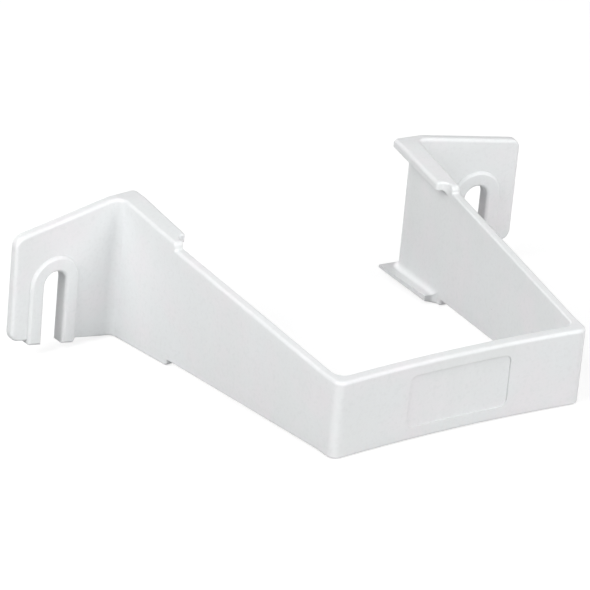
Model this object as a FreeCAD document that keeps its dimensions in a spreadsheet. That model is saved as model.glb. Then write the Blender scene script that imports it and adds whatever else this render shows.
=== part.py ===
import FreeCAD, Part
import math
import os

import Sketcher
from FreeCAD import Placement, Rotation, Vector

# Downspout clip: one moulded strap that holds a 65 mm square downpipe off a wall.
# Frame: X across the clip, Z up, and the wall is the plane Y = 0, with the clip on its -Y side.
# The origin is on the wall, midway between the two ears, at half the clip's height.
# The clip is drawn from its front plate back, as a right half that is then mirrored.
# Each arm has a frame of its own: out from its outer face, along it to the wall, and up.

# Driving sizes, in millimetres and degrees
SIZES = {
    # front plate
    "front_width": 69.6,
    "front_height": 20.0,
    "front_wall": 3.0,
    "front_bow": 1.6,
    "front_outer_radius": 2.4,
    "front_inner_radius": 2.8,
    # blank panel sunk into the front plate
    "panel_width": 28.0,
    "panel_height": 13.6,
    "panel_depth": 0.35,
    "panel_radius": 1.7,
    # arms: the neck, the shoulder and the wide part behind it, to the crease
    "arm_wall": 2.4,
    "splay_angle": 5.1,
    "neck_start": 0.6,
    "neck_length": 65.0,
    "neck_rise": 4.8,
    "shoulder_step": 1.6,
    "wide_length": 22.8,
    "wide_rise": 2.1,
    "crease_radius": 2.0,
    "crease_blend": 12.0,
    # ears
    "ear_margin": 4.6,
    "ear_wall": 2.8,
    "ear_end_top": 14.1,
    "ear_end_bottom": 13.4,
    "ear_corner_radius": 2.8,
    # flanges that stand the pipe off the wall
    "flange_setback": 3.0,
    "flange_front_flat": 0.1,
    "flange_widening": 0.9,
    "flange_wall": 2.2,
    "flange_front_radius": 1.7,
    "flange_rear_radius": 1.5,
    "flange_root_radius": 1.5,
    "lip_inset": 0.2,
    "lip_front": 1.5,
    "lip_rear": 0.7,
    # screw slots, each with a raised band round it that ends in two feet
    "slot_centre": 18.0,
    "slot_width": 6.1,
    "slot_depth": 18.6,
    "slot_edge_radius": 0.9,
    "band_width": 14.0,
    "band_height": 0.8,
    "band_slope": 0.6,
    "foot_drop": 0.9,
    "foot_radius": 0.8,
    # softened edges
    "top_edge_radius": 0.9,
    "bottom_edge_radius": 0.5,
    "flange_edge_radius": 1.0,
}

# Cutting tools run this far past the material
CLEAR = 2.0
# An edge's middle is this close to the place where it is looked for
NEAR = 0.02

doc = FreeCAD.newDocument("downspout_clip")
sheet = doc.addObject("Spreadsheet::Sheet", "sizes")
for row, (alias, value) in enumerate(SIZES.items(), start=1):
    sheet.set("A%d" % row, alias)
    sheet.set("B%d" % row, str(value))
    sheet.setAlias("B%d" % row, alias)
doc.recompute()


def size(formula):
    return float(sheet.evalExpression(formula))


def near(one, other):
    return abs(one - other) < NEAR


# Formulas worked out from the driving sizes
armLength = "(sizes.neck_length + sizes.wide_length)"
earWidth = "(sizes.slot_centre + sizes.band_width / 2 + sizes.ear_margin)"
frontHalf = "(sizes.front_height / 2)"
neckHalf = "(%s + sizes.neck_rise)" % frontHalf
shoulderHalf = "(%s + sizes.shoulder_step)" % neckHalf
creaseHalf = "(%s + sizes.wide_rise)" % shoulderHalf
shoulderRadius = "(0.7 * sizes.shoulder_step)"
notchRadius = "(0.15 * sizes.shoulder_step)"
flatEnd = "(sizes.front_wall + sizes.front_inner_radius + sizes.neck_start)"
creaseStart = "(%s - sizes.crease_radius)" % armLength
bendRadius = "(sizes.crease_radius + (sizes.arm_wall + sizes.ear_wall) / 2)"
wallEnd = "(%s + sizes.ear_wall)" % armLength
flangeStart = "(sizes.neck_length + sizes.flange_setback)"
bowCentre = "(sizes.front_bow / 2 - (sizes.front_width / 2)^2 / (2 * sizes.front_bow))"
bowBack = "(sizes.front_bow + sizes.front_wall)"
frontTip = "(sizes.flange_front_radius + sizes.flange_edge_radius + sizes.flange_front_flat)"
frontReach = "(sizes.arm_wall + %s)" % frontTip
rearReach = "(%s + sizes.flange_widening)" % frontReach
wallDepth = "(%s * cos(sizes.splay_angle) + %s * sin(sizes.splay_angle))" % (wallEnd, rearReach)
bandFront = "(%s - sizes.band_height)" % armLength
earMiddle = "(%s + sizes.ear_wall / 2)" % armLength
blankHalf = "(%s + %s)" % (creaseHalf, CLEAR)
beyond = "(%s + %s)" % (blankHalf, CLEAR)
behind = "(%s + 2 * %s)" % (wallEnd, CLEAR)


# Half height of the wide part of the arm
def wideRise(along):
    run = "(%s - sizes.neck_length)" % creaseStart
    return "(%s + sizes.wide_rise * (%s - sizes.neck_length) / %s)" % (shoulderHalf, along, run)


# Half height of the ear, above or below
def earRise(out, end):
    drop = "(%s - %s)" % (creaseHalf, end)
    run = "(%s - sizes.crease_radius)" % earWidth
    return "(%s - %s * (%s - sizes.crease_radius) / %s)" % (creaseHalf, drop, out, run)


def earFloor(out):
    return "-" + earRise(out, "sizes.ear_end_bottom")


# Width of the flanges, from the outer face of the arm
def flangeReach(along):
    part = "(%s - %s) / (%s - %s)" % (along, flangeStart, wallEnd, flangeStart)
    return "(%s + sizes.flange_widening * %s)" % (frontReach, part)


def addConstraint(sketch, formula, *arguments):
    number = sketch.addConstraint(Sketcher.Constraint(*arguments, size(formula)))
    if "sizes." in formula:
        sketch.setExpression("Constraints[%d]" % number, formula)


def join(sketch, kind, *arguments):
    sketch.addConstraint(Sketcher.Constraint(kind, *arguments))


def placePoint(sketch, item, end, across, up):
    addConstraint(sketch, across, "DistanceX", item, end)
    addConstraint(sketch, up, "DistanceY", item, end)


# An arc may be stored from its finish to its start, so its two ends come back with it
def addArc(sketch, start, middle, finish):
    arc = sketch.addGeometry(Part.Arc(start, middle, finish), False)
    forward = (sketch.getPoint(arc, 1) - start).Length < NEAR
    return (arc, 1, 2) if forward else (arc, 2, 1)


def tangentLength(points, radii, index):
    if not radii[index]:
        return 0.0
    before = points[index - 1] - points[index]
    after = points[(index + 1) % len(points)] - points[index]
    return radii[index] / math.tan(before.getAngle(after) / 2)


# A side from one corner to the next: a line, or a half circle where the outline is arched
def addSide(sketch, start, finish, arched):
    if arched:
        crown = (start + finish) / 2 + Vector(0, (finish - start).Length / 2, 0)
        return addArc(sketch, start, crown, finish)
    return sketch.addGeometry(Part.LineSegment(start, finish), False), 1, 2


def roundCorner(sketch, before, after, corner, point, radius):
    start = sketch.getPoint(before, 2)
    finish = sketch.getPoint(after, 1)
    toCentre = ((start + finish) / 2 - point).normalize()
    centre = point + toCentre * math.hypot(radius, (start - point).Length)
    arc, first, last = addArc(sketch, start, centre - toCentre * radius, finish)
    join(sketch, "Tangent", before, 2, arc, first)
    join(sketch, "Tangent", arc, last, after, 1)
    addConstraint(sketch, corner[2], "Radius", arc)
    apex = sketch.addGeometry(Part.Point(point), True)
    placePoint(sketch, apex, 1, corner[0], corner[1])
    join(sketch, "PointOnObject", apex, 1, before)
    join(sketch, "PointOnObject", apex, 1, after)


# Corners are (across, up) or (across, up, radius), each one a formula.
# With an arch, the last two corners are the ends of a half circle over the outline.
def addOutline(sketch, corners, arch=False):
    count = len(corners)
    points = [Vector(size(corner[0]), size(corner[1]), 0) for corner in corners]
    radii = [size(corner[2]) if len(corner) > 2 else 0.0 for corner in corners]
    reach = [tangentLength(points, radii, index) for index in range(count)]
    sides = []
    for index, point in enumerate(points):
        other = points[(index + 1) % count]
        way = (other - point).normalize()
        start = point + way * reach[index]
        finish = other - way * reach[(index + 1) % count]
        sides.append(addSide(sketch, start, finish, arch and index == count - 2))
    for index, corner in enumerate(corners):
        before, after = sides[index - 1], sides[index]
        if radii[index]:
            roundCorner(sketch, before[0], after[0], corner, points[index], radii[index])
        else:
            join(sketch, "Coincident", before[0], before[2], after[0], after[1])
            placePoint(sketch, after[0], after[1], corner[0], corner[1])
    if arch:
        addConstraint(sketch, corners[-1][1], "DistanceY", sides[-2][0], 3)


def onArc(centre, radius, across):
    return Vector(across, centre.y + math.sqrt(radius ** 2 - across ** 2), 0)


# Half of a block between two arcs of the front's bow, from the middle to an end line
def addBowedSketch(name, front, back, half, slant):
    sketch = addSketch(name, planes["XY_Plane"], "FlatFace")
    centre = Vector(0, size(bowCentre), 0)
    frontRadius, backRadius = [size("%s - %s" % (edge, bowCentre)) for edge in (front, back)]
    lean = math.tan(math.radians(size(slant)))
    frontMiddle, backMiddle = onArc(centre, frontRadius, 0), onArc(centre, backRadius, 0)
    frontEnd = onArc(centre, frontRadius, size(half))
    backEnd = onArc(centre, backRadius, frontEnd.x)
    backEnd = onArc(centre, backRadius, frontEnd.x + lean * (backEnd.y - frontEnd.y))
    halfway = frontEnd.x / 2
    frontArc, frontFirst, frontLast = addArc(
        sketch, frontMiddle, onArc(centre, frontRadius, halfway), frontEnd)
    backArc, backFirst, backLast = addArc(
        sketch, backEnd, onArc(centre, backRadius, halfway), backMiddle)
    endLine = sketch.addGeometry(Part.LineSegment(frontEnd, backEnd), False)
    middleLine = sketch.addGeometry(Part.LineSegment(backMiddle, frontMiddle), False)
    join(sketch, "Coincident", frontArc, frontLast, endLine, 1)
    join(sketch, "Coincident", endLine, 2, backArc, backFirst)
    join(sketch, "Coincident", backArc, backLast, middleLine, 1)
    join(sketch, "Coincident", middleLine, 2, frontArc, frontFirst)
    join(sketch, "Coincident", frontArc, 3, backArc, 3)
    placePoint(sketch, middleLine, 2, "0", front)
    placePoint(sketch, middleLine, 1, "0", back)
    placePoint(sketch, frontArc, 3, "0", bowCentre)
    addConstraint(sketch, half, "DistanceX", endLine, 1)
    turn = sketch.addConstraint(Sketcher.Constraint("Angle", endLine, math.pi / 2 - math.atan(lean)))
    sketch.setExpression("Constraints[%d]" % turn, "90 - %s" % slant)
    return sketch


def addSketch(name, support, mode, depth=None):
    sketch = body.newObject("Sketcher::SketchObject", name)
    sketch.AttachmentSupport = (support, [""])
    sketch.MapMode = mode
    if depth:
        sketch.setExpression("AttachmentOffset.Base.z", depth)
    return sketch


# A sketch across the arm, at a distance along it
def addCrossSketch(name, along):
    return addSketch(name, armFrame, "ObjectXZ", "-(%s)" % along)


def finish(feature):
    feature.Refine = True
    body.Tip = feature
    doc.recompute()
    if "Invalid" in feature.State or not body.Shape.isValid():
        raise RuntimeError(feature.Name + " did not come out")


def addPad(name, sketch, length, middle=False, reverse=False):
    pad = body.newObject("PartDesign::Pad", name)
    pad.Profile = sketch
    pad.Midplane = middle
    pad.Reversed = reverse
    pad.setExpression("Length", length)
    finish(pad)


# A cut of a given length, or right through both ways
def addPocket(name, sketch, length=None, middle=False):
    before = body.Shape.Volume
    pocket = body.newObject("PartDesign::Pocket", name)
    pocket.Profile = sketch
    pocket.Midplane = middle
    if length:
        pocket.setExpression("Length", length)
    else:
        pocket.Type = "ThroughAll"
    finish(pocket)
    if not body.Shape.Volume < before:
        raise RuntimeError(name + " cuts nothing")


# Edges are picked by a test of their middle, given in the arm's frame and from the front plate
def edgesWhere(base, test):
    names = []
    for number, edge in enumerate(base.Shape.Edges, start=1):
        middle = edge.valueAt((edge.FirstParameter + edge.LastParameter) / 2)
        if test(toArm.multVec(middle), middle):
            names.append("Edge%d" % number)
    return names


def addFillet(name, radius, test):
    before = body.Shape.Volume
    fillet = body.newObject("PartDesign::Fillet", name)
    fillet.Base = (fillet.BaseFeature, edgesWhere(fillet.BaseFeature, test))
    fillet.setExpression("Radius", radius)
    finish(fillet)
    if body.Shape.Volume == before:
        raise RuntimeError(name + " rounds nothing")


body = doc.addObject("PartDesign::Body", "downspout_clip")
body.Label = "downspout_clip"
body.AllowCompound = True
planes = {feature.Role: feature for feature in body.Origin.OriginFeatures}

# The right arm's frame starts at the front corner and is turned outward by the splay
armFrame = body.newObject("PartDesign::CoordinateSystem", "arm_frame")
armFrame.AttachmentSupport = (planes["XY_Plane"], [""])
armFrame.MapMode = "FlatFace"
armFrame.AttachmentOffset = Placement(Vector(), Rotation(Vector(0, 0, -1), size("sizes.splay_angle")))
armFrame.setExpression("AttachmentOffset.Base.x", "sizes.front_width / 2")
armFrame.setExpression("AttachmentOffset.Rotation.Angle", "sizes.splay_angle")
doc.recompute()
toArm = armFrame.Placement.inverse()

# Flange blank, with the square corner behind the bend, and its hidden edge along the wall's middle
blankStart = "(%s - 2 * sizes.flange_front_radius)" % flangeStart
cornerEnd = "(%s - sizes.arm_wall)" % bendRadius
middleRun = "((sizes.crease_radius + sizes.arm_wall / 2) * cos(45))"
blankSketch = addSketch("flange_plan", armFrame, "ObjectXY")
addOutline(blankSketch, [
    ("-sizes.arm_wall", blankStart),
    ("-sizes.arm_wall", flangeStart, "sizes.flange_front_radius"),
    ("-" + flangeReach(flangeStart), flangeStart),
    ("-" + flangeReach(wallEnd), wallEnd),
    (cornerEnd, wallEnd),
    (cornerEnd, earMiddle),
    ("sizes.crease_radius - " + middleRun, creaseStart + " + " + middleRun),
    ("-sizes.arm_wall / 2", creaseStart),
    ("-sizes.arm_wall / 2", blankStart),
])
addPad("flange_blank", blankSketch, "2 * " + blankHalf, middle=True)

# Gap that leaves one flange at the top and one at the bottom
gapStart = "(%s - 3 * sizes.flange_front_radius)" % flangeStart
gapEnd = "(%s + %s)" % (wallEnd, CLEAR)
gapFront = "(%s - sizes.flange_wall)" % wideRise(gapStart)
gapRear = "(%s - sizes.flange_wall)" % wideRise(gapEnd)
gapSketch = addSketch("flange_gap_side", armFrame, "ObjectYZ")
addOutline(gapSketch, [
    (gapStart, gapFront),
    (gapEnd, gapRear),
    (gapEnd, "-" + gapRear),
    (gapStart, "-" + gapFront),
])
addPocket("flange_gap", gapSketch, middle=True)

# Wall of the arm and ear, bent round where it meets the house
webSketch = addSketch("web_plan", armFrame, "ObjectXY")
addOutline(webSketch, [
    ("0", "sizes.front_wall / 2"),
    ("0", armLength, "sizes.crease_radius"),
    (earWidth, armLength),
    (earWidth, wallEnd),
    ("-sizes.arm_wall", wallEnd, bendRadius),
    ("-sizes.arm_wall", "sizes.front_wall / 2"),
])
addPad("web", webSketch, "2 * " + blankHalf, middle=True)

# Roots of the flanges, inside the arm
addFillet("flange_roots", "sizes.flange_root_radius", lambda arm, clip: (
    near(arm.x, -size("sizes.arm_wall")) and arm.y > size(flangeStart)
    and near(abs(arm.z), size(wideRise(arm.y) + " - sizes.flange_wall"))))

# Side outline: level at the front plate, tapered neck, shoulder, tapered to the crease, level there
sideSketch = addSketch("side_outline", armFrame, "ObjectYZ")
for side in ("", "-"):
    addOutline(sideSketch, [
        ("-%s" % CLEAR, side + frontHalf),
        (flatEnd, side + frontHalf),
        ("sizes.neck_length", side + neckHalf, notchRadius),
        ("sizes.neck_length", side + shoulderHalf, shoulderRadius),
        (creaseStart, side + creaseHalf, "sizes.crease_blend"),
        (behind, side + creaseHalf),
        (behind, side + beyond),
        ("-%s" % CLEAR, side + beyond),
    ])
addPocket("side_cut", sideSketch, middle=True)

# Ear outline: level at the crease, tapered to its outer end, more so below
earBeyond = "(%s + %s)" % (earWidth, CLEAR)
earSketch = addSketch("ear_outline", armFrame, "ObjectXZ")
for side, end in (("", "sizes.ear_end_top"), ("-", "sizes.ear_end_bottom")):
    addOutline(earSketch, [
        ("-%s" % CLEAR, side + creaseHalf),
        ("sizes.crease_radius", side + creaseHalf, "sizes.crease_blend"),
        (earBeyond, side + earRise(earBeyond, end)),
        (earBeyond, side + beyond),
        ("-%s" % CLEAR, side + beyond),
    ])
addPocket("ear_cut", earSketch, middle=True)
addFillet("ear_corners", "sizes.ear_corner_radius", lambda arm, clip: (
    near(arm.x, size(earWidth)) and near(arm.y, size(earMiddle))))

# Front plate, bowed inward between its corners, and the blank panel sunk into it
plateSketch = addBowedSketch(
    "plate_plan", "sizes.front_bow", bowBack, "sizes.front_width / 2", "sizes.splay_angle")
addPad("front_plate", plateSketch, "sizes.front_height", middle=True)
panelSketch = addBowedSketch(
    "panel_plan", "(sizes.front_bow - %s)" % CLEAR, "(sizes.front_bow + sizes.panel_depth)",
    "sizes.panel_width / 2", "0")
addPocket("panel", panelSketch, "sizes.panel_height", middle=True)
addFillet("panel_corners", "sizes.panel_radius", lambda arm, clip: (
    near(clip.x, size("sizes.panel_width / 2")) and near(abs(clip.z), size("sizes.panel_height / 2"))))
addFillet("front_outer_corner", "sizes.front_outer_radius", lambda arm, clip: (
    near(clip.x, size("sizes.front_width / 2")) and near(clip.y, 0) and near(clip.z, 0)))
addFillet("front_inner_corner", "sizes.front_inner_radius", lambda arm, clip: (
    near(arm.x, -size("sizes.arm_wall")) and arm.y < size(flatEnd) and near(clip.z, 0)))

# Raised band round the slot, and its two feet, through the whole ear
bandInner = "(sizes.slot_centre - sizes.band_width / 2)"
bandOuter = "(sizes.slot_centre + sizes.band_width / 2)"
archHeight = "(%s + sizes.slot_depth - sizes.slot_width / 2)" % earFloor("sizes.slot_centre")
bandSketch = addCrossSketch("band_outline", bandFront)
addOutline(bandSketch, [
    (bandInner, "%s - sizes.foot_drop" % earFloor(bandInner), "sizes.foot_radius"),
    (bandOuter, "%s - sizes.foot_drop" % earFloor(bandOuter), "sizes.foot_radius"),
    (bandOuter, archHeight),
    (bandInner, archHeight),
], arch=True)
addPad("band", bandSketch, "sizes.band_height + sizes.ear_wall", reverse=True)


def onBandFront(arm):
    return near(arm.y, size(bandFront)) and arm.z > size(earFloor(bandInner)) + size("sizes.foot_radius")


bandSlope = body.newObject("PartDesign::Chamfer", "band_slope")
bandSlope.Base = (bandSlope.BaseFeature, edgesWhere(
    bandSlope.BaseFeature, lambda arm, clip: onBandFront(arm)))
bandSlope.ChamferType = "Two distances"
bandSlope.setExpression("Size", "sizes.band_slope")
bandSlope.setExpression("Size2", "0.75 * sizes.band_height")
finish(bandSlope)

# Screw slot, open at the bottom, with its front edges rounded
slotInner = "(sizes.slot_centre - sizes.slot_width / 2)"
slotOuter = "(sizes.slot_centre + sizes.slot_width / 2)"
slotBelow = "-%s - %s" % (creaseHalf, CLEAR)
slotSketch = addCrossSketch("slot_outline", "%s - %s" % (armLength, CLEAR))
addOutline(slotSketch, [
    (slotInner, slotBelow),
    (slotOuter, slotBelow),
    (slotOuter, archHeight),
    (slotInner, archHeight),
], arch=True)
addPocket("slot", slotSketch, "sizes.ear_wall + 2 * %s" % CLEAR)
slotHalf = size("sizes.slot_width / 2")
addFillet("slot_edges", "sizes.slot_edge_radius", lambda arm, clip: (
    onBandFront(arm) and abs(arm.x - size("sizes.slot_centre")) < slotHalf + NEAR
    and arm.z < size(archHeight) + slotHalf + NEAR))


# Half height of the arm at a distance along it
def armHalf(along):
    if along > size("sizes.neck_length + " + shoulderRadius):
        return min(size(wideRise(along)), size(creaseHalf))
    part = (along - size(flatEnd)) / size("sizes.neck_length - " + flatEnd)
    return size(frontHalf) + max(part, 0.0) * size("sizes.neck_rise")


# On the top or bottom of the strap, the shoulder included
def onRim(arm):
    shoulder = size("sizes.neck_length")
    if shoulder - 0.5 < arm.y < shoulder + size(shoulderRadius):
        return abs(arm.z) > size(neckHalf) - 0.1
    return near(abs(arm.z), armHalf(arm.y))


def fromBow(clip):
    return math.hypot(clip.x, clip.y - size(bowCentre)) + size(bowCentre)


# On the skin that faces away from the pipe: front plate, outside of the arm, front of the ear
def onOutside(arm, clip):
    corner = size("sizes.front_outer_radius")
    if near(fromBow(clip), size("sizes.front_bow")) or arm.y < corner and arm.x > -corner:
        return True
    if arm.x < NEAR:
        return near(arm.x, 0)
    if arm.x < size("sizes.crease_radius"):
        return arm.y < size(armLength) + NEAR
    return near(arm.y, size(armLength))


# On the skin that faces the pipe: back of the front plate, inside of the arm, front of the flanges
def onInside(arm, clip):
    wall = size("sizes.arm_wall")
    corner = size("sizes.front_inner_radius")
    if near(fromBow(clip), size(bowBack)):
        return True
    if near(arm.x, -wall):
        return arm.y < size(flangeStart)
    if -wall - corner < arm.x < -wall and arm.y < size(flatEnd) + 0.1:
        return arm.y > size("sizes.front_wall")
    frontEnd = size(flangeStart)
    return arm.x < -wall and frontEnd - size("sizes.flange_front_radius") < arm.y < frontEnd + NEAR


def atBand(arm):
    reach = size("sizes.band_width / 2") + NEAR
    return abs(arm.x - size("sizes.slot_centre")) < reach and arm.z < size(archHeight) + reach


addFillet("top_edges", "sizes.top_edge_radius", lambda arm, clip: (
    onOutside(arm, clip) and arm.z > size(frontHalf) - NEAR and not atBand(arm)))
addFillet("bottom_edges", "sizes.bottom_edge_radius", lambda arm, clip: (
    onOutside(arm, clip) and arm.z < NEAR - size(frontHalf) and not atBand(arm)))
addFillet("inner_edges", "sizes.bottom_edge_radius", lambda arm, clip: (
    onInside(arm, clip) and onRim(arm)))


# Underside of the lower flange, sloped up from the arm to a lip that thins towards the wall
def addLipSketch(name, along, lip):
    start = "(sizes.arm_wall + sizes.lip_inset)"
    tip = "(%s + %s)" % (flangeReach(along), CLEAR)
    slope = "(sizes.flange_wall - %s) / (%s - %s)" % (lip, flangeReach(along), start)
    sketch = addCrossSketch(name, along)
    addOutline(sketch, [
        ("-" + start, "-" + wideRise(along)),
        ("-" + tip, "-%s + %s * (%s - %s)" % (wideRise(along), slope, tip, start)),
        ("-" + tip, "-%s - %s" % (wideRise(along), CLEAR)),
        ("-" + start, "-%s - %s" % (wideRise(along), CLEAR)),
    ])
    return sketch


lipStart = "(%s - sizes.flange_front_radius)" % flangeStart
lipCut = body.newObject("PartDesign::SubtractiveLoft", "lip_cut")
lipCut.Profile = addLipSketch("lip_front_section", lipStart, "sizes.lip_front")
lipCut.Sections = [addLipSketch("lip_rear_section", gapEnd, "sizes.lip_rear")]
lipCut.Ruled = True
finish(lipCut)

# Inner corner and edges of the upper flange
addFillet("flange_rear_corner", "sizes.flange_rear_radius", lambda arm, clip: (
    near(arm.x, -size(flangeReach(wallEnd))) and near(arm.y, size(wallEnd)) and arm.z > 0))
addFillet("flange_top_edges", "sizes.flange_edge_radius", lambda arm, clip: (
    near(arm.x, -size(flangeReach(arm.y))) and arm.z > armHalf(arm.y) - NEAR))

mirror = body.newObject("PartDesign::Mirrored", "left_half")
mirror.TransformMode = "Whole shape"
mirror.MirrorPlane = (planes["YZ_Plane"], [""])
finish(mirror)

# The wall takes the place of the front plate as the plane Y = 0
body.setExpression("Placement.Base.y", "-" + wallDepth)
doc.recompute()

for item in doc.Objects:
    if "Invalid" in item.State or "Error" in item.State:
        raise RuntimeError(item.Name + " did not recompute")
if body.Shape.isNull() or not body.Shape.isValid() or len(body.Shape.Solids) != 1:
    raise RuntimeError("the clip is not one valid solid")

os.makedirs("parts", exist_ok=True)
body.Shape.exportStep("parts/%s.step" % body.Label)
print(body.Label, "volume", round(body.Shape.Volume, 1), "wall depth", round(size(wallDepth), 3))
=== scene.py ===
import math

import bpy
from mathutils import Euler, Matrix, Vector

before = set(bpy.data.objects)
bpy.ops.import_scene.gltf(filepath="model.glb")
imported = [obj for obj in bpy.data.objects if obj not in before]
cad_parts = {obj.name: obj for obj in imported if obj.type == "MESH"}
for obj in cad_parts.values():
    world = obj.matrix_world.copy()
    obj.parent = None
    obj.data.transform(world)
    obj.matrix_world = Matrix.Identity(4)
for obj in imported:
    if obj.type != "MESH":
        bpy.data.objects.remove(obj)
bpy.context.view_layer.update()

# A white moulded clip that holds a square downpipe off a wall, photographed on a white table.
# Metres, Z up. The wall is the plane Y = 0 and the clip stands out from it towards -Y.

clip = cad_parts["downspout_clip"]
print("frame loaded")


# Node helpers: a node gets its settings, and its sockets get their values by name
def addNode(tree, kind, place, **settings):
    node = tree.nodes.new(kind)
    node.location = place
    for name, value in settings.items():
        setattr(node, name, value)
    return node


def setSockets(node, **values):
    for name, value in values.items():
        node.inputs[name.replace("_", " ")].default_value = value
    return node


def newMaterial(name):
    material = bpy.data.materials.new(name)
    material.use_nodes = True
    material.node_tree.nodes.clear()
    return material


def addSocket(group, direction, kind, name):
    return group.interface.new_socket(name, in_out=direction, socket_type="NodeSocket" + kind)


# Soft patches that fade in and out over a surface, from noise at two sizes
def makeMottleGroup():
    group = bpy.data.node_groups.new("mottle", "ShaderNodeTree")
    addSocket(group, "INPUT", "Vector", "Vector")
    for name, value in (("Broad Scale", 30.0), ("Fine Scale", 300.0)):
        addSocket(group, "INPUT", "Float", name).default_value = value
    for name in ("Broad", "Fine"):
        addSocket(group, "OUTPUT", "Float", name)
    source = addNode(group, "NodeGroupInput", (-400, 0))
    result = addNode(group, "NodeGroupOutput", (200, 0))
    for row, name in enumerate(("Broad", "Fine")):
        noise = addNode(group, "ShaderNodeTexNoise", (-150, -250 * row))
        setSockets(noise, Detail=3.0, Roughness=0.55)
        group.links.new(source.outputs["Vector"], noise.inputs["Vector"])
        group.links.new(source.outputs[name + " Scale"], noise.inputs["Scale"])
        group.links.new(noise.outputs["Fac"], result.inputs[name])
    return group


# Sparse round specks: one in a few cells of a Voronoi pattern
def makeSpeckGroup():
    group = bpy.data.node_groups.new("specks", "ShaderNodeTree")
    addSocket(group, "INPUT", "Vector", "Vector")
    for name, value in (("Scale", 200.0), ("Radius", 0.06), ("Rarity", 0.9)):
        addSocket(group, "INPUT", "Float", name).default_value = value
    addSocket(group, "OUTPUT", "Float", "Mask")
    source = addNode(group, "NodeGroupInput", (-600, 0))
    cells = addNode(group, "ShaderNodeTexVoronoi", (-400, 0))
    near = addNode(group, "ShaderNodeMath", (-200, 100), operation="LESS_THAN")
    split = addNode(group, "ShaderNodeSeparateColor", (-200, -100))
    rare = addNode(group, "ShaderNodeMath", (0, -100), operation="GREATER_THAN")
    both = addNode(group, "ShaderNodeMath", (200, 0), operation="MULTIPLY")
    result = addNode(group, "NodeGroupOutput", (400, 0))
    group.links.new(source.outputs["Vector"], cells.inputs["Vector"])
    group.links.new(source.outputs["Scale"], cells.inputs["Scale"])
    group.links.new(cells.outputs["Distance"], near.inputs[0])
    group.links.new(source.outputs["Radius"], near.inputs[1])
    group.links.new(cells.outputs["Color"], split.inputs["Color"])
    group.links.new(split.outputs["Red"], rare.inputs[0])
    group.links.new(source.outputs["Rarity"], rare.inputs[1])
    group.links.new(near.outputs[0], both.inputs[0])
    group.links.new(rare.outputs[0], both.inputs[1])
    group.links.new(both.outputs[0], result.inputs["Mask"])
    return group


# One placing of a group in a material, with the pattern's coordinates linked in
def addGroup(tree, group, place, coordinates, **values):
    node = setSockets(addNode(tree, "ShaderNodeGroup", place, node_tree=group), **values)
    tree.links.new(coordinates, node.inputs["Vector"])
    return node


# A noise value stretched from its usual span to low..high
def addRange(tree, place, source, low, high, span=(0.3, 0.7)):
    ramp = addNode(tree, "ShaderNodeMapRange", place)
    setSockets(ramp, From_Min=span[0], From_Max=span[1], To_Min=low, To_Max=high)
    tree.links.new(source, ramp.inputs["Value"])
    return ramp.outputs["Result"]


# A colour laid over another where the mask is up
def addLayer(tree, place, mask, under, over):
    mix = addNode(tree, "ShaderNodeMix", place, data_type="RGBA")
    underSocket, overSocket, result = mix.inputs[6], mix.inputs[7], mix.outputs[2]
    tree.links.new(mask, mix.inputs["Factor"])
    if isinstance(under, tuple):
        underSocket.default_value = under
    else:
        tree.links.new(under, underSocket)
    overSocket.default_value = over
    return result


mottleGroup = makeMottleGroup()
speckGroup = makeSpeckGroup()
print("shader groups ready")

# White moulded plastic: soft gloss, faint blotches, flow streaks up the walls, and a few dark specks
whitePlastic = {
    "pale": (0.730, 0.746, 0.755, 1),
    "dull": (0.712, 0.727, 0.727, 1),
    "blotchScale": 38.0,
    "warm": (0.743, 0.731, 0.745, 1),
    "warmScale": 95.0,
    "warmSpan": (0.45, 0.70),
    "flow": (0.770, 0.778, 0.784, 1),
    "flowScale": 150.0,
    "flowStretch": (1.0, 1.0, 0.06),
    "flowSpan": (0.52, 0.75),
    "flowShare": 0.3,
    "dust": (0.670, 0.680, 0.685, 1),
    "dustScale": 1100.0,
    "dustSpan": (0.50, 0.70),
    "dustShare": 0.45,
    "speck": (0.30, 0.29, 0.28, 1),
    "speckScale": 195.0,
    "speckRadius": 0.055,
    "speckRarity": 0.955,
    "glossy": 0.40,
    "rubbed": 0.52,
    "ior": 1.46,
    "rippleDepth": 0.000006,
    "grainDepth": 0.000002,
    "grainScale": 420.0,
    "edgeRound": 0.00025,
}


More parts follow.
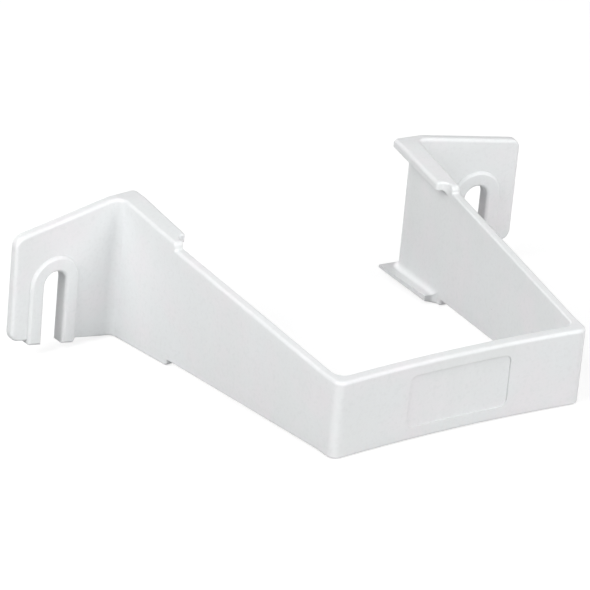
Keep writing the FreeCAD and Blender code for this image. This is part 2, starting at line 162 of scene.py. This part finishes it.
def makePlastic(look):
    material = newMaterial("whitePlastic")
    tree = material.node_tree
    place = addNode(tree, "ShaderNodeTexCoord", (-1400, 0)).outputs["Object"]
    stretch = addNode(tree, "ShaderNodeMapping", (-1200, -300))
    setSockets(stretch, Scale=look["flowStretch"])
    tree.links.new(place, stretch.inputs["Vector"])

    blotches = addGroup(tree, mottleGroup, (-1000, 200), place,
                        Broad_Scale=look["blotchScale"], Fine_Scale=look["grainScale"])
    streaks = addGroup(tree, mottleGroup, (-1000, -300), stretch.outputs["Vector"],
                       Broad_Scale=look["flowScale"])
    patches = addGroup(tree, mottleGroup, (-1000, 0), place, Broad_Scale=look["warmScale"])
    grains = addGroup(tree, mottleGroup, (-1000, 800), place, Fine_Scale=look["dustScale"])
    specks = addGroup(tree, speckGroup, (-1000, 500), place, Scale=look["speckScale"],
                      Radius=look["speckRadius"], Rarity=look["speckRarity"])

    tone = addRange(tree, (-750, 250), blotches.outputs["Broad"], 0.0, 1.0)
    tint = addRange(tree, (-750, 450), patches.outputs["Broad"], 0.0, 1.0, look["warmSpan"])
    flow = addRange(tree, (-750, 100), streaks.outputs["Broad"], 0.0, look["flowShare"], look["flowSpan"])
    dust = addRange(tree, (-750, 700), grains.outputs["Fine"], 0.0, look["dustShare"], look["dustSpan"])
    color = addLayer(tree, (-550, 300), tone, look["pale"], look["dull"])
    color = addLayer(tree, (-400, 350), tint, color, look["warm"])
    color = addLayer(tree, (-250, 400), flow, color, look["flow"])
    color = addLayer(tree, (-100, 450), dust, color, look["dust"])
    color = addLayer(tree, (50, 500), specks.outputs["Mask"], color, look["speck"])
    rough = addRange(tree, (-750, -50), blotches.outputs["Broad"], look["glossy"], look["rubbed"])

    # Relief: softened edges, then the flow ripple, then a fine grain
    edges = addNode(tree, "ShaderNodeBevel", (-750, -700), samples=6)
    setSockets(edges, Radius=look["edgeRound"])
    ripple = addNode(tree, "ShaderNodeBump", (-500, -400))
    setSockets(ripple, Strength=1.0, Distance=look["rippleDepth"])
    tree.links.new(streaks.outputs["Broad"], ripple.inputs["Height"])
    tree.links.new(edges.outputs["Normal"], ripple.inputs["Normal"])
    grain = addNode(tree, "ShaderNodeBump", (-300, -500))
    setSockets(grain, Strength=1.0, Distance=look["grainDepth"])
    tree.links.new(blotches.outputs["Fine"], grain.inputs["Height"])
    tree.links.new(ripple.outputs["Normal"], grain.inputs["Normal"])

    surface = addNode(tree, "ShaderNodeBsdfPrincipled", (250, 0))
    setSockets(surface, IOR=look["ior"])
    output = addNode(tree, "ShaderNodeOutputMaterial", (550, 0))
    tree.links.new(color, surface.inputs["Base Color"])
    tree.links.new(rough, surface.inputs["Roughness"])
    tree.links.new(grain.outputs["Normal"], surface.inputs["Normal"])
    tree.links.new(surface.outputs["BSDF"], output.inputs["Surface"])
    return material


plastic = makePlastic(whitePlastic)
for slot in clip.material_slots:
    slot.material = plastic
print("clip finished")

# Photo table: it touches the clip where it rests, at the front plate and at the creases
photoTable = {
    "size": 3.0,
    "frontEdge": (-0.0906, -0.0101),        # Y and Z of the front plate's lower edge
    "creaseEdge": (-0.0063, -0.0186),       # Y and Z of the creases' lower ends
    "paper": (0.42, 0.42, 0.42, 1),         # what the clip and the lamps see
    "shade": (0.30, 0.30, 0.30, 1),         # what the camera sees: paper with the shadow,
    "glow": 0.76,                           # lifted to white
}


def makePaper(look):
    material = newMaterial("tablePaper")
    tree = material.node_tree
    path = addNode(tree, "ShaderNodeLightPath", (-400, 300))
    paper = setSockets(addNode(tree, "ShaderNodeBsdfDiffuse", (-400, 0)), Color=look["paper"])
    shade = setSockets(addNode(tree, "ShaderNodeBsdfDiffuse", (-400, -150)), Color=look["shade"])
    glow = setSockets(addNode(tree, "ShaderNodeEmission", (-400, -300)), Strength=look["glow"])
    seen = addNode(tree, "ShaderNodeAddShader", (-200, -200))
    mix = addNode(tree, "ShaderNodeMixShader", (0, 0))
    output = addNode(tree, "ShaderNodeOutputMaterial", (200, 0))
    tree.links.new(shade.outputs[0], seen.inputs[0])
    tree.links.new(glow.outputs[0], seen.inputs[1])
    tree.links.new(path.outputs["Is Camera Ray"], mix.inputs[0])
    tree.links.new(paper.outputs[0], mix.inputs[1])
    tree.links.new(seen.outputs[0], mix.inputs[2])
    tree.links.new(mix.outputs[0], output.inputs["Surface"])
    return material


def makeTable(look):
    bpy.ops.object.select_all(action="DESELECT")
    frontY, frontZ = look["frontEdge"]
    creaseY, creaseZ = look["creaseEdge"]
    slope = math.atan2(creaseZ - frontZ, creaseY - frontY)
    bpy.ops.mesh.primitive_plane_add(
        size=look["size"], location=(0, frontY, frontZ), rotation=(slope, 0, 0))
    table = bpy.context.object
    table.name = "photoTable"
    bpy.ops.object.transform_apply(location=True, rotation=True, scale=True)
    table.data.materials.append(makePaper(look))


makeTable(photoTable)
print("table laid")

# Studio light: six soft lamps round the clip, and three small ones close to it
studio = {
    "haze": 0.02,
    "backdrop": 1.0,
    "aim": (0, -0.045, 0),
    "lamps": {
        "front": {"place": (0, -1.325, 0.226), "size": 0.9, "power": 11.0},
        "upper": {"place": (0.385, -1.103, 0.65), "size": 0.9, "power": 4.9},
        "right": {"place": (1.28, -0.045, 0.226), "size": 0.9, "power": 4.75},
        "rear": {"place": (0, 1.235, 0.226), "size": 0.9, "power": 9.9},
        "left": {"place": (-0.919, -0.045, 0.919), "size": 0.9, "power": 9.1},
        "side": {"place": (-1.107, -0.448, 0.549), "size": 0.9, "power": 3.6},
        "leftEar": {"place": (-0.28, -0.06, 0.2), "size": 0.15, "power": 0.25},
        "rightEar": {"place": (0.28, -0.08, 0.2), "size": 0.15, "power": 0.08},
        "middle": {"place": (0.12, -0.16, 0.3), "size": 0.15, "power": 0.21},
    },
}


def addLamp(name, place, size, power):
    lamp = bpy.data.lights.new(name, "AREA")
    lamp.shape = "DISK"
    lamp.size = size
    lamp.energy = power
    holder = bpy.data.objects.new(name, lamp)
    bpy.context.scene.collection.objects.link(holder)
    holder.location = place
    reach = Vector(studio["aim"]) - Vector(place)
    holder.rotation_euler = reach.to_track_quat("-Z", "Y").to_euler()


# The camera sees a white backdrop, and the clip only a faint haze
def makeHaze():
    world = bpy.data.worlds.new("haze")
    bpy.context.scene.world = world
    world.use_nodes = True
    tree = world.node_tree
    tree.nodes.clear()
    path = addNode(tree, "ShaderNodeLightPath", (-400, 200))
    mix = addNode(tree, "ShaderNodeMixShader", (0, 0))
    output = addNode(tree, "ShaderNodeOutputWorld", (200, 0))
    tree.links.new(path.outputs["Is Camera Ray"], mix.inputs[0])
    for row, name in enumerate(("haze", "backdrop")):
        light = addNode(tree, "ShaderNodeBackground", (-200, -150 * row))
        setSockets(light, Color=(1, 1, 1, 1), Strength=studio[name])
        tree.links.new(light.outputs[0], mix.inputs[row + 1])
    tree.links.new(mix.outputs[0], output.inputs["Surface"])


makeHaze()
for lampName, lampValues in studio["lamps"].items():
    addLamp(lampName, **lampValues)
bpy.context.scene.view_settings.view_transform = "Standard"

# Camera, at the photograph's view
cameraView = {
    "place": (-0.61653, -0.92475, 0.55565),
    "turn": (62.641, -4.762, -31.758),      # degrees
    "lens": 308.9,                          # millimetres, and so is the sensor
    "sensor": 36.0,
    "nearest": 0.05,
    "farthest": 20.0,
}


def addCamera(view):
    camera = bpy.data.cameras.new("camera")
    camera.lens = view["lens"]
    camera.sensor_width = view["sensor"]
    camera.clip_start = view["nearest"]
    camera.clip_end = view["farthest"]
    holder = bpy.data.objects.new("camera", camera)
    bpy.context.scene.collection.objects.link(holder)
    holder.location = view["place"]
    holder.rotation_euler = Euler([math.radians(angle) for angle in view["turn"]], "XYZ")
    bpy.context.scene.camera = holder


addCamera(cameraView)
print("light and camera ready")
